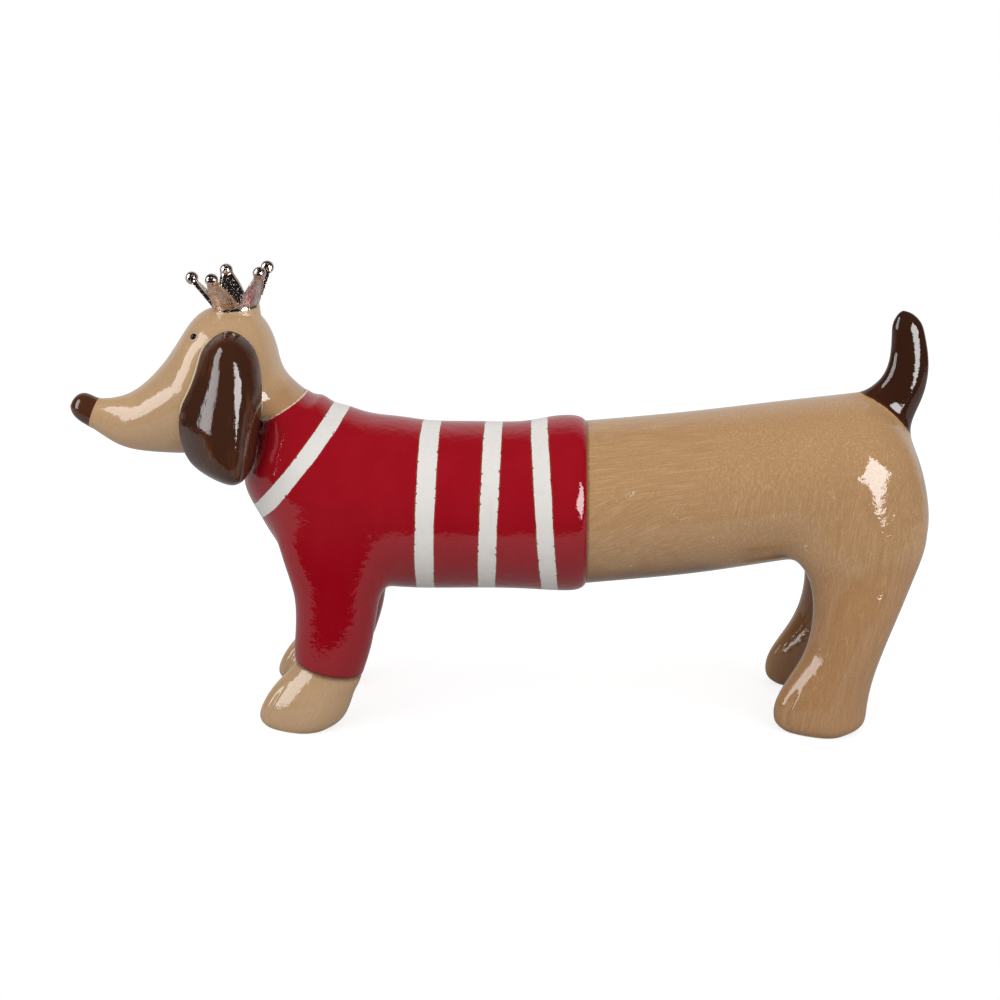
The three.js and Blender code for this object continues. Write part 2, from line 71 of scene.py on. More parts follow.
class Tube:
    # A tube through rings of (x, y, z, span, wide, lean). A table over x and z says how far along
    # it the ring plane through a place lies. dome rounds off the space behind the last ring, and
    # tips the first and last stretches of the tube, over the lengths given.
    def __init__(self, rings, dome=0, sag=0, tips=(0, 0)):
        rows = np.asarray(rings, float)
        steps = np.hypot(np.diff(rows[:, 0]), np.diff(rows[:, 2])) + 0.3 * np.abs(np.diff(rows[:, 3]))
        knots = np.concatenate(([0], np.cumsum(steps)))
        t = np.linspace(0, knots[-1], sampling["places"])
        values = smoothCurve(rows, knots)(t)
        self.knotShare = knots / knots[-1]
        self.x, self.y, self.z = values[:, 0], values[:, 1], values[:, 2]
        self.a, self.b = values[:, 3] / 2, values[:, 4] / 2
        lean = np.radians(values[:, 5])
        self.sin, self.cos = np.sin(lean), np.cos(lean)
        self.run = np.concatenate(([0], np.cumsum(np.hypot(np.diff(self.x), np.diff(self.z)))))
        self.dome, self.sag, self.tips = dome, sag, tips
        reach = max(values[:, 3].max(), values[:, 4].max()) / 2 + sampling["room"] + dome
        self.xs = np.arange(self.x.min() - reach, self.x.max() + reach, sampling["cell"])
        self.zs = np.arange(self.z.min() - reach, self.z.max() + reach, sampling["cell"])
        gx, gz = np.meshgrid(self.xs, self.zs, indexing="ij")
        self.table = np.concatenate([self.stations(x, z) for x, z in zip(gx, gz)]).reshape(gx.shape)

    def stations(self, x, z):
        # Distance ahead of each ring plane, and where along the tube it changes sign.
        ahead = (x[:, None] - self.x) * self.cos - (z[:, None] - self.z) * self.sin
        last = len(self.x) - 1
        passed = (ahead[:, :-1] >= 0) & (ahead[:, 1:] < 0)
        middle = np.abs((x[:, None] - self.x) * self.sin + (z[:, None] - self.z) * self.cos)
        i = np.where(passed, middle[:, :-1], 1e9).argmin(axis=1)
        rows = np.arange(len(x))
        before, after = ahead[rows, i], ahead[rows, i + 1]
        found = passed[rows, i]
        inside = i + before / np.where(found, before - after, 1)
        beyond = np.where(ahead[:, 0] < 0, ahead[:, 0], last + ahead[:, -1])
        return np.where(found, inside, beyond)

    def station(self, x, z):
        # The table's value between its four nearest entries.
        i = np.clip((x - self.xs[0]) / sampling["cell"], 0, len(self.xs) - 1.001)
        k = np.clip((z - self.zs[0]) / sampling["cell"], 0, len(self.zs) - 1.001)
        i0, k0 = i.astype(int), k.astype(int)
        i, k = i - i0, k - k0
        low = self.table[i0, k0] * (1 - k) + self.table[i0, k0 + 1] * k
        high = self.table[i0 + 1, k0] * (1 - k) + self.table[i0 + 1, k0 + 1] * k
        return low * (1 - i) + high * i

    def distance(self, x, y, z):
        # About how far a place lies outside the oval of its own ring: the oval's value less one,
        # over the steepness of that value. A rounded end adds a third term, as a ball has.
        at = self.station(x, z)
        last = len(self.x) - 1
        ahead = np.maximum(-at, 0)
        beyond = np.maximum(at - last, 0)
        at = np.clip(at, 0, last - 0.001)
        i = at.astype(int)
        share = at - i

        def pick(values):
            return values[i] * (1 - share) + values[i + 1] * share

        up = (x - pick(self.x)) * pick(self.sin) + (z - pick(self.z)) * pick(self.cos)
        across = y - pick(self.y)
        a, b = pick(self.a), pick(self.b)
        onward, length = 0 * up, 1
        if self.dome:
            onward, length = beyond / self.dome, self.dome
            up = up + self.sag * (1 - np.sqrt(1 - np.clip(onward, 0, 1) ** 2))
            far = self.before(x, z)
        elif self.tips[0]:
            length = self.tips[0]
            onward = np.maximum(1 - (pick(self.run) - ahead) / length, 0)
            far = self.after(x, z)
        elif self.tips[1]:
            length = self.tips[1]
            onward = np.maximum(1 - (self.run[-1] - pick(self.run) - beyond) / length, 0)
            far = self.before(x, z)
        else:
            far = np.maximum(self.before(x, z), self.after(x, z))
        size = np.sqrt((up / a) ** 2 + (across / b) ** 2 + onward ** 2) + 1e-6
        steep = np.sqrt((up / a ** 2) ** 2 + (across / b ** 2) ** 2 + (onward / length) ** 2)
        return np.maximum((size - 1) * size / (steep + 1e-6), far)

    def before(self, x, z, ring=0):
        # Distance past a ring's plane, away from the rest of the tube.
        return (self.x[ring] - x) * self.cos[ring] - (self.z[ring] - z) * self.sin[ring]

    def after(self, x, z, ring=-1):
        return -self.before(x, z, ring)


def blend(a, b, reach):
    # The lower of two distances, rounded off where they are alike: a fillet between two forms.
    near = np.maximum(reach - np.abs(a - b), 0) / reach
    return np.minimum(a, b) - near ** 3 * reach / 6


def trim(a, b, reach):
    # The higher of two distances, rounded off: an edge where one form cuts another.
    return -blend(-a, -b, reach)


def bump(distance, reach):
    # A bell: one in the middle, and almost nothing twice the reach away.
    return np.exp(-(distance / reach) ** 2)


def fade(value, low, high):
    # Nought below low, one above high, and an easy curve between.
    share = np.clip((value - low) / (high - low), 0, 1)
    return share * share * (3 - 2 * share)


def spaced(low, high, coarse, fine=()):
    # Grid lines a coarse step apart, and closer within each (from, to, step) stretch
    lines = [low]
    while lines[-1] < high:
        step = coarse
        for start, stop, close in fine:
            if start - coarse < lines[-1] < stop:
                step = close
        lines.append(lines[-1] + step)
    return np.array(lines)


def castSurface(field, xs, ys, zs):
    # The skin where a distance field is nought: a face for every grid edge that it crosses, and a
    # point for every cell, which starts at the mean of the crossings.
    value = field(xs[:, None, None], ys[None, :, None], zs[None, None, :])
    lines = (xs, ys, zs)
    places, cells, faces = [], [], []
    for axis in range(3):
        count = value.shape[axis]
        first = value.take(range(count - 1), axis)
        second = value.take(range(1, count), axis)
        crossed = (first < 0) != (second < 0)
        index = np.argwhere(crossed)
        low, high = first[crossed], second[crossed]
        place = np.stack([lines[d][index[:, d]] for d in range(3)], axis=1)
        gap = lines[axis][index[:, axis] + 1] - lines[axis][index[:, axis]]
        place[:, axis] += gap * low / (low - high)
        one, two = (axis + 1) % 3, (axis + 2) % 3
        corners = []
        for stepOne, stepTwo in ((0, 0), (-1, 0), (-1, -1), (0, -1)):
            cell = index.copy()
            cell[:, one] += stepOne
            cell[:, two] += stepTwo
            corners.append(np.ravel_multi_index(cell.T, value.shape))
        places += [place] * 4
        cells += corners
        face = np.stack(corners, axis=1)
        inward = low > 0
        face[inward] = face[inward][:, ::-1]
        faces.append(face)
    cells, places = np.concatenate(cells), np.concatenate(places)
    used, number = np.unique(cells, return_inverse=True)
    total = np.bincount(number)
    points = np.stack([np.bincount(number, places[:, d]) / total for d in range(3)], axis=1)
    faces = np.searchsorted(used, np.concatenate(faces))
    return settle(field, points), faces


def slopeOf(field, points, reach=0.02):
    # How the field grows along x, y and z.
    columns = []
    for d in range(3):
        step = np.zeros(3)
        step[d] = reach
        ahead, behind = points + step, points - step
        columns.append((field(*ahead.T) - field(*behind.T)) / (2 * reach))
    return np.stack(columns, axis=1)


def settle(field, points, rounds=4):
    # Moves points along the slope until the field is nought there.
    for _ in range(rounds):
        slope = slopeOf(field, points)
        steep = np.maximum((slope ** 2).sum(axis=1), 0.05)
        points = points - slope * np.clip(field(*points.T) / steep, -0.6, 0.6)[:, None]
    return points


def read(items, name, kind, width=1):
    values = np.zeros(len(items) * width, kind)
    items.foreach_get(name, values)
    return values


def setNormals(mesh, normals):
    # Each corner of a smooth face takes its point's normal, and a flat face keeps its own.
    corner = read(mesh.loops, "vertex_index", np.int32)
    smooth = read(mesh.polygons, "use_smooth", bool)
    sizes = read(mesh.polygons, "loop_total", np.int32)
    flat = np.repeat(read(mesh.polygons, "normal", np.float32, 3).reshape(-1, 3), sizes, axis=0)
    rounded = np.repeat(smooth, sizes)
    chosen = np.where(rounded[:, None], normals[corner], flat)
    mesh.normals_split_custom_set(chosen.tolist())


def newObject(name, data):
    made = bpy.data.objects.new(name, data)
    bpy.context.scene.collection.objects.link(made)
    return made


def castPiece(name, field, skin, cuts=(), marks=None):
    # A piece of a cast skin. A cut is a place on a plane and the way that is cut off, and its hole
    # is closed with a flat face. Marks are distances at every point, which the material reads.
    points, faces = skin
    mesh = bpy.data.meshes.new(name)
    mesh.from_pydata(points.tolist(), [], faces.tolist())
    shape = bmesh.new()
    shape.from_mesh(mesh)
    for face in shape.faces:
        face.smooth = True
    for place, away in cuts:
        geometry = shape.verts[:] + shape.edges[:] + shape.faces[:]
        plane = {"plane_co": place, "plane_no": away, "dist": 1e-4}
        cut = bmesh.ops.bisect_plane(shape, geom=geometry, clear_outer=True, **plane)
        rim = [e for e in cut["geom_cut"] if isinstance(e, bmesh.types.BMEdge)]
        made = bmesh.ops.holes_fill(shape, edges=rim, sides=0)
        for face in made["faces"]:
            face.smooth = False
    bmesh.ops.recalc_face_normals(shape, faces=shape.faces[:])
    shape.to_mesh(mesh)
    shape.free()
    places = read(mesh.vertices, "co", float, 3).reshape(-1, 3)
    normals = slopeOf(field, places)
    normals /= np.linalg.norm(normals, axis=1)[:, None] + 1e-9
    for mark, measure in (marks or {}).items():
        layer = mesh.attributes.new(mark, "FLOAT", "POINT")
        layer.data.foreach_set("value", measure(*places.T).astype(np.float32))
    mesh.vertices.foreach_set("co", (places * mm).ravel())
    mesh.update()
    setNormals(mesh, normals)
    print(name, len(mesh.polygons), "faces")
    return newObject(name, mesh)


def settleInto(piece, material, slot, *nodes):
    # The finish of a piece, its body and the nodes that it stands for
    piece.data.materials.append(material)
    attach(piece, "root")
    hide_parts(*nodes)


# The body: one tube from the muzzle over the skull and neck to the hem, and one behind the hem
body = {"hem": 29.9, "collar": (-72.4, 105.2), "collarLean": 60}
# x and z from the middle of the collar, span, wide, lean
headRings = [
    (-63.7, -3.2, 9.6, 10, 20),
    (-55.2, -4.7, 17, 15.4, 20.9),
    (-45.6, -1.7, 29.4, 22.4, 18.5),
    (-36.2, 3.4, 40.6, 30, 9.9),
    (-28.9, 7.1, 47.8, 36.2, 6.7),
    (-18.6, 9, 48.6, 39, 7),
    (-11.5, 9.1, 42.5, 37.4, 11.6),
    (-7.3, 5.1, 29.9, 34.6, 21),
    (-4.6, 1.8, 20.2, 33, 36),
]
chestRings = [
    (0, 0, 16.8, 33, 60),
    (1.4, -5.5, 27.4, 37.6, 54),
    (1.6, -12.4, 39.4, 45.4, 50),
    (6, -18.7, 46.3, 51.8, 40),
    (14, -26.5, 54.4, 56, 31),
    (28.2, -31.8, 57.6, 58, 18),
]
# x, middle, span, wide
barrelRings = [
    (-22.7, 71, 56.6, 58),
    (-6.5, 71, 56.2, 57.8),
    (10, 71.1, 56.9, 58.2),
    (19, 71.7, 58.9, 60.2),
    (24.5, 71.8, 59.2, 60.4),
    (32, 71.8, 58.8, 60),
]
rearRings = [
    (24, 71.7, 54.8, 56.4),
    (46.5, 73.8, 54.6, 57),
    (65, 75.8, 54.4, 57.8),
    (91, 79.5, 53.3, 59.2),
    (117, 83.1, 52.2, 59.8),
]
rump = {"dome": 26.66, "sag": 21}


def aboutCollar(rings):
    x, z = body["collar"]
    return [(x + r[0], 0, z + r[1], *r[2:]) for r in rings]


def legRings(rings, x, y):
    # x from the leg's own x, height, inset from the middle of the foot, span, wide, and a lean
    # where the ring doesn't lie level
    side = math.copysign(1, y)
    rows = [r if len(r) > 5 else (*r, 90) for r in rings]
    return [(x + r[0], y - side * r[2], r[1], r[3], r[4], r[5]) for r in rows]


sleeveRings = [
    (5, 75, 7, 34, 20),
    (4.8, 62, 4.9, 38.4, 24),
    (4.15, 51, 4.3, 32.7, 26),
    (3.8, 43, 3.2, 28, 25.4),
    (2.4, 28.5, 1.4, 25.7, 24.4),
    (0.7, 20.2, 1, 23, 23.2, 104),
    (0.2, 17, 1, 22.4, 22.6, 104),
]
pawRings = [
    (1.4, 25, 1, 21, 19.6, 101),
    (0.7, 19.9, 0.9, 22.4, 20.6, 101),
    (-3.2, 14, 0.4, 25.6, 23.2, 97),
    (-6.9, 7.4, 0.1, 29.2, 26),
    (-8.8, 2.6, 0, 27.6, 26),
    (-9.8, 0, 0, 21.6, 22.6),
    (-10.2, -1.8, 0, 15, 14),
]
hindRings = [
    (-1, 91, 10.5, 28, 15),
    (-0.4, 77, 7, 41, 27),
    (0.4, 65, 4.8, 44.6, 26.4),
    (2.3, 52.5, 4.7, 35.4, 25.2),
    (1.3, 41, 3.5, 28.4, 23.8),
    (-3.2, 25, 2.4, 25.6, 24),
    (-7.1, 16, 1.7, 28.2, 24.8),
    (-9.7, 7, 0.8, 30.6, 26),
    (-10, 2.6, 0.6, 29, 26),
    (-10.8, 0, 0, 21.8, 20),
    (-11.2, -1.8, 0, 15, 14),
]
tailRings = [
    (131.6, 0, 137.1, 7.6, 5.6, 72),
    (133.1, 0, 133.6, 9.4, 6.8, 82),
    (134.2, 0, 128.3, 11.2, 8, 93),
    (134.7, 0, 120.3, 13, 9.2, 97),
    (132.7, 0, 111.9, 15.3, 10.8, 110),
    (129, 0, 106, 18.4, 12.6, 119),
    (126, 0, 100, 23, 17, 125),
]
noseRings = [
    (-61, -3.8, 10, 10.2, 200),
    (-63.7, -3.2, 9.9, 10.2, 200),
    (-66.7, -1.8, 10.2, 10.6, 188),
    (-71.5, -1, 9.4, 9.8, 186),
]
legs = {"frontX": -57.4, "hindX": 117, "spread": 45, "farSetBack": 2.4, "farAside": 1.2}

print("shapes: tubes")
spot = legs["spread"] / 2
barrelLevel = [(r[0], 0, r[1], r[2], r[3], 0) for r in barrelRings]
trunk = Tube(aboutCollar(headRings + chestRings) + barrelLevel)
loin = Tube([(r[0], 0, r[1], r[2], r[3], 0) for r in rearRings], **rump)
noseTube = Tube(aboutCollar(noseRings), tips=(0, 5.4))
tailTube = Tube(tailRings, tips=(6, 0))
frontFeet = [(legs["frontX"], -spot), (legs["frontX"], spot)]
hindFeet = [(legs["hindX"], -spot), (legs["hindX"] + legs["farSetBack"], spot + legs["farAside"])]
sleeves = [Tube(legRings(sleeveRings, *foot)) for foot in frontFeet]
paws = [Tube(legRings(pawRings, *foot)) for foot in frontFeet]
hindLegs = [Tube(legRings(hindRings, *foot)) for foot in hindFeet]
collarX, collarZ = body["collar"]
collarStation = trunk.knotShare[len(headRings)] * (len(trunk.x) - 1)
collarLean = math.radians(body["collarLean"])


def pastCollar(x, y, z):
    # Distance behind the collar's plane. Its sign goes by the ring that a place lies on, because
    # the plane also cuts the jaw.
    plane = (x - collarX) * math.cos(collarLean) - (z - collarZ) * math.sin(collarLean)
    return np.where(trunk.station(x, z) > collarStation, np.abs(plane), -np.abs(plane))


toes = {
    "apart": 4.6, "deep": 0.75, "half": 0.55, "low": (1.6, 4), "high": (11, 16.5), "back": (-16, -10),
    "pinchSoft": 3, "pinchLeast": 0.42, "heel": 0.12, "heelTop": (2, 26), "heelFrom": (-10, 2),
}
frontToes = {"from": 0, "pinch": 0.042, "top": (20, 30)}
hindToes = {"from": -3.5, "pinch": 0.038, "top": (22, 40)}


def pinched(foot, shape, x, y, z):
    # A level oval becomes a wedge with its narrow end at the toes, with an easy start and a blunt
    # end, and less so further up. The heel narrows a little towards the sole.
    ahead = np.maximum(foot[0] + shape["from"] - x, 0)
    drawn = shape["pinch"] * ahead ** 2 / (ahead + toes["pinchSoft"]) * (1 - fade(z, *shape["top"]))
    heel = toes["heel"] * fade(x - foot[0], *toes["heelFrom"]) * (1 - fade(z, *toes["heelTop"]))
    room = 1 - toes["pinchLeast"]
    return foot[1] + (y - foot[1]) / (toes["pinchLeast"] + room * np.exp(-(drawn + heel) / room))


def toeGrooves(foot, x, y, z):
    # Two furrows down the front of a paw, which fade out above the toes and at the sole.
    across = bump(np.abs(y - foot[1]) - toes["apart"], toes["half"])
    height = fade(z, *toes["low"]) * (1 - fade(z, *toes["high"]))
    return toes["deep"] * across * height * (1 - fade(x - foot[0], *toes["back"]))


# The sweater, with its sleeves, from the collar to the rolled hem
sweater = {
    "armFillet": 9, "hemRound": 9, "cuff": 468, "cuffRound": 1, "collarRound": 0.9, "collarStep": 0.3,
    "stepReach": 3, "grid": 1.1,
}


def sweaterField(x, y, z):
    behind = pastCollar(x, y, z)
    step = sweater["collarStep"] * np.exp(-np.maximum(behind, 0) / sweater["stepReach"])
    shape = trunk.distance(x, y, z) - step
    for sleeve in sleeves:
        arm = trim(sleeve.distance(x, y, z), sleeve.after(x, z, sweater["cuff"]), sweater["cuffRound"])
        shape = blend(shape, arm, sweater["armFillet"])
    shape = trim(shape, x - body["hem"] + 0 * y, sweater["hemRound"])
    return trim(shape, -behind, sweater["collarRound"])


def aboveCuff(x, y, z):
    return np.minimum(*[-sleeve.after(x, z, sweater["cuff"]) for sleeve in sleeves]) + 0 * y


sweaterSkin = castSurface(
    sweaterField,
    spaced(-92, 31, sweater["grid"], [(21, 30, 0.4)]),
    spaced(-40, 40, sweater["grid"]),
    spaced(11, 114, sweater["grid"], [(13, 24, 0.4)]),
)
sweaterMarks = {"aboveCuff": aboveCuff, "pastCollar": pastCollar}
sweaterPiece = castPiece("sweater", sweaterField, sweaterSkin, marks=sweaterMarks)

# The rear body with the hind legs, and the tail that grows out of it
rear = {
    "hipFillet": 9, "tailFillet": 6, "vent": (62, 3, 60), "ventRound": 0.8, "grid": 1.1,
    "taper": 0.05, "taperBehind": (109, 129), "taperAbove": (38, 60),
}
tailRoot = Vector((129, 0, 106)), Vector((0.485, 0, 0.875))  # a place on the tail's seam, the way up


def rearField(x, y, z):
    # The haunches draw in towards the back.
    drawn = fade(x, *rear["taperBehind"]) * fade(z, *rear["taperAbove"])
    inward = y * (1 + rear["taper"] * drawn)
    shape = loin.distance(x, inward, z)
    for leg, foot in zip(hindLegs, hindFeet):
        hind = leg.distance(x, pinched(foot, hindToes, x, inward, z), z) + toeGrooves(foot, x, y, z)
        shape = blend(shape, hind, rear["hipFillet"])
    shape = blend(shape, tailTube.distance(x, y, z), rear["tailFillet"])
    ventX, radius, top = rear["vent"]
    hole = np.maximum(np.hypot(x - ventX, y) - radius, z - top)
    return trim(shape, -hole, rear["ventRound"])


floorCut = ((0, 0, 0), (0, 0, -1))
grooveAt = [side * (spot + step * toes["apart"]) for _, side in leftRight for step in (-1, 1)]
grooveLines = [(at - 1.6, at + 1.6, 0.4) for at in grooveAt]
rearSkin = castSurface(
    rearField,
    spaced(22, 148, rear["grid"], [(57, 67, 0.6)]),
    spaced(-38, 39, rear["grid"], sorted(grooveLines) + [(-5, 5, 0.7)]),
    spaced(-3, 142, rear["grid"], [(-1, 4, 0.5)]),
)
rearMarks = {"offRump": loin.distance}
rearPiece = castPiece("rear_body_and_hind_legs", rearField, rearSkin, [floorCut, tailRoot], rearMarks)
tailPiece = castPiece("tail_horn", rearField, rearSkin, [(tailRoot[0], -tailRoot[1])], rearMarks)

# The front paws
paw = {"ahead": 27, "behind": 18, "inner": 8, "outer": 37, "grid": 0.8}
pawPieces = []
for (hand, side), foot, tube in zip(leftRight, frontFeet, paws):
    def pawField(x, y, z, tube=tube, foot=foot):
        return tube.distance(x, pinched(foot, frontToes, x, y, z), z) + toeGrooves(foot, x, y, z)

    near = [line for line in sorted(grooveLines) if line[0] * side > 0]
    low, high = sorted((side * paw["inner"], side * paw["outer"]))
    pawSkin = castSurface(
        pawField,
        spaced(foot[0] - paw["ahead"], foot[0] + paw["behind"], paw["grid"]),
        spaced(low, high, paw["grid"], near),
        spaced(-3, 27, paw["grid"], [(-1, 4, 0.4)]),
    )
    pawMarks = {"aboveCuff": aboveCuff}
    pawPieces.append(castPiece(f"front_paw_{hand}_toes", pawField, pawSkin, [floorCut], pawMarks))

# The ears: drops whose outer side rises to a crest, which lies nearer the back edge
ear = {
    "top": 132.1, "bottom": 82.3, "back": 5, "power": 1.2, "flat": 13, "scale": 6.5,
    "inner": 8, "outer": 34, "grid": 0.6,
}
# height, middle x, half width, how far the rim stands from the middle of the dog, how high the
# crest stands over it, and how far the crest lies behind the middle
earRows = [
    (82.3, -87.3, 4.4, 20.8, 8.5, 3.4),
    (88, -89.7, 9.5, 20, 10.9, 3.8),
    (96, -91, 12.5, 18.8, 12.6, 4),
    (104, -90.7, 13.35, 17.9, 12.9, 3.9),
    (112, -89.1, 12.4, 17.2, 12.3, 3),
    (121, -87.7, 10.35, 16.4, 11, 1.7),
    (127, -87.4, 8.2, 15.7, 9.8, 0.7),
    (132.1, -87.3, 4.6, 14.8, 8, 0.2),
]
earTable = np.array(earRows)
earCurve = smoothCurve(earTable[:, 1:], earTable[:, 0])


def earField(side, x, y, z):
    # The square across the outline plus a power along it and a power of the height over the rim,
    # less one. The outline slides sideways with that height, which sets the crest off the middle.
    shape = np.shape(z)
    rows = earCurve(np.clip(np.ravel(z), ear["bottom"], ear["top"])).reshape(*shape, 5)
    middle, half, rim, bulge, crest = (rows[..., i] for i in range(5))
    along = (2 * z - ear["top"] - ear["bottom"]) / (ear["top"] - ear["bottom"])
    out = side * y - rim
    lift = np.maximum(out, 0) / bulge
    across = (x - middle - crest * lift) / half
    back = np.minimum(out, 0) / ear["back"]
    rise = lift ** ear["power"] + back ** 2
    return (across ** 2 + np.abs(along) ** ear["flat"] + rise - 1) * ear["scale"]


earPieces = []
for hand, side in leftRight:
    def oneEar(x, y, z, side=side):
        return earField(side, x, y, z)

    low, high = sorted((side * ear["inner"], side * ear["outer"]))
    box = ((-108, -72), (low, high), (79, 136))
    earSkin = castSurface(oneEar, *[spaced(*ends, ear["grid"]) for ends in box])
    earPieces.append(castPiece(f"ear_{hand}_drop", oneEar, earSkin))

# The head with its nose: the front of the body's tube, and a button blended onto its end
head = {
    "noseBlend": 1.6, "neckInside": 1.6, "neckRound": 0.2, "pitDeep": 0.25, "pitWide": 1.5, "grid": 0.9,
}
# a place on the seam of the nose, and the way out
noseSeam = Vector((collarX - 63.7, 0, collarZ - 3.2)), Vector((-0.94, 0, 0.342))
# The search for the skin of the head starts at this place.
eyes = {
    "from": (-99.3, -11, 129.8), "rounds": 60, "wide": 1.05, "high": 1.15, "out": 0.75,
    "room": 1.5, "grid": 0.14,
}


def eyePlace():
    # Where the left eye sits on the skin of the head, and the way that it faces.
    place = np.array([eyes["from"]])
    for _ in range(eyes["rounds"]):
        slope = slopeOf(trunk.distance, place)
        place[:, 1] -= trunk.distance(*place.T) / slope[:, 1]
    facing = slopeOf(trunk.distance, place)[0]
    return place[0], facing / np.linalg.norm(facing)


eyeAt, eyeFacing = eyePlace()
print("eye at", eyeAt.round(2), "facing", eyeFacing.round(2))


def fromEye(x, y, z):
    return np.sqrt((x - eyeAt[0]) ** 2 + (np.abs(y) + eyeAt[1]) ** 2 + (z - eyeAt[2]) ** 2)


def headField(x, y, z):
    shape = blend(trunk.distance(x, y, z), noseTube.distance(x, y, z), head["noseBlend"])
    shape = shape + head["pitDeep"] * bump(fromEye(x, y, z), head["pitWide"])
    return trim(shape, pastCollar(x, y, z) - head["neckInside"], head["neckRound"])


def fromEars(x, y, z):
    return np.minimum(earField(-1, x, y, z), earField(1, x, y, z))


headSkin = castSurface(
    headField,
    spaced(-147, -66, head["grid"], [(-101, -96, 0.4)]),
    spaced(-22, 22, head["grid"]),
    spaced(84, 142, head["grid"], [(127, 132, 0.4)]),
)
headMarks = {"fromEars": fromEars, "fromEye": fromEye, "pastCollar": pastCollar}
headPiece = castPiece("head_and_neck", headField, headSkin, [noseSeam], headMarks)
nosePiece = castPiece("nose_button", headField, headSkin, [(noseSeam[0], -noseSeam[1])])

eyePieces = []
for hand, side in leftRight:
    at = eyeAt * (1, -side, 1)
    facing = eyeFacing * (1, -side, 1)
    tall = np.cross(facing, (0, 1, 0))
    tall = tall / np.linalg.norm(tall)

    def eyeField(x, y, z, at=at, facing=facing, tall=tall):
        dx, dy, dz = x - at[0], y - at[1], z - at[2]
        out = dx * facing[0] + dy * facing[1] + dz * facing[2]
        up = dx * tall[0] + dy * tall[1] + dz * tall[2]
        rest = dx ** 2 + dy ** 2 + dz ** 2 - out ** 2 - up ** 2
        oval = (up / eyes["high"]) ** 2 + (out / eyes["out"]) ** 2 + rest / eyes["wide"] ** 2
        return np.sqrt(oval + 1e-9) - 1

    bead = castSurface(eyeField, *[spaced(c - eyes["room"], c + eyes["room"], eyes["grid"]) for c in at])
    eyePieces.append(castPiece(f"eye_{hand}_bead", eyeField, bead))

# The crown: a thin flared wall cut into five points, with raised edges and balls
crown = {
    "points": 5, "base": 7, "tip": 13.23, "height": 10.77, "thick": 1.1, "lean": -6.5, "turn": 35.05,
    "seat": (-87.05, 138.02), "skirt": -4.5, "tipHalf": 1.4, "valley": 1.1, "notchBend": (0.4, 0.6),
    "ball": 2.15, "ballBlend": 0.9, "flare": (0.7, 0.3), "wallSlope": 0.86, "notchSlope": 0.8,
    "edgeRaise": 0.34, "edgeWide": 0.45, "edgeIn": 0.3, "edgeFrom": (0.5, 2), "notchRound": 0.5,
    "topRound": 0.4, "grid": 0.36,
}
notchSteps = np.linspace(0, 1, 60)
gapHalf = math.pi * crown["tip"] / crown["points"] - crown["tipHalf"]
bendX, bendZ = gapHalf * crown["notchBend"][0], crown["height"] * crown["notchBend"][1]
notchHalf = 2 * notchSteps * (1 - notchSteps) * bendX + notchSteps ** 2 * gapHalf
notchHeight = (1 - notchSteps) ** 2 * crown["valley"] + 2 * notchSteps * (1 - notchSteps) * bendZ
notchHeight = notchHeight + notchSteps ** 2 * crown["height"]


def crownField(x, y, z):
    # In the crown's own frame: a wall about a radius that grows with height, less the notches.
    lean = math.radians(crown["lean"])
    dx, dz = x - crown["seat"][0], z - crown["seat"][1]
    px = dx * math.cos(lean) - dz * math.sin(lean)
    h = dx * math.sin(lean) + dz * math.cos(lean)
    over = h - crown["height"]
    up = np.clip(h / crown["height"], 0, 1.3)
    straight, curved = crown["flare"]
    flare = crown["base"] + (crown["tip"] - crown["base"]) * (straight * up + curved * up ** 2)
    radius = np.hypot(px, y) + 1e-6
    step = 2 * math.pi / crown["points"]
    turn = np.arctan2(y, px) - math.radians(crown["turn"])
    off = (turn + step / 2) % step - step / 2
    half = np.interp(h, notchHeight, notchHalf)
    edge = radius * np.sin(step / 2 - np.abs(off))
    notch = np.where(h > crown["valley"], half - edge, -9)
    raised = bump(np.abs(notch) - crown["edgeIn"], crown["edgeWide"]) * fade(h, *crown["edgeFrom"])
    thick = crown["thick"] / 2 + crown["edgeRaise"] * raised * (radius > flare)
    wall = np.abs(radius - flare) * crown["wallSlope"] - thick
    shape = trim(wall, notch * crown["notchSlope"], crown["notchRound"])
    shape = trim(shape, over, crown["topRound"])
    shape = np.maximum(shape, crown["skirt"] - h)
    along = radius * np.cos(off) - crown["tip"]
    ball = np.sqrt(along ** 2 + (radius * np.sin(off)) ** 2 + over ** 2) - crown["ball"]
    return blend(shape, ball, crown["ballBlend"])


def aboveSeat(x, y, z):
    # Height over the leaning plane that the crown stands on
    slope = math.tan(math.radians(crown["lean"]))
    return z - crown["seat"][1] + slope * (x - crown["seat"][0])


crownBox = ((-107, -70), (-17, 17), (131, 155))
crownSkin = castSurface(crownField, *[spaced(*ends, crown["grid"]) for ends in crownBox])
crownPiece = castPiece("crown_five_points", crownField, crownSkin, marks={"aboveSeat": aboveSeat})

# Glazes
print("glazes")


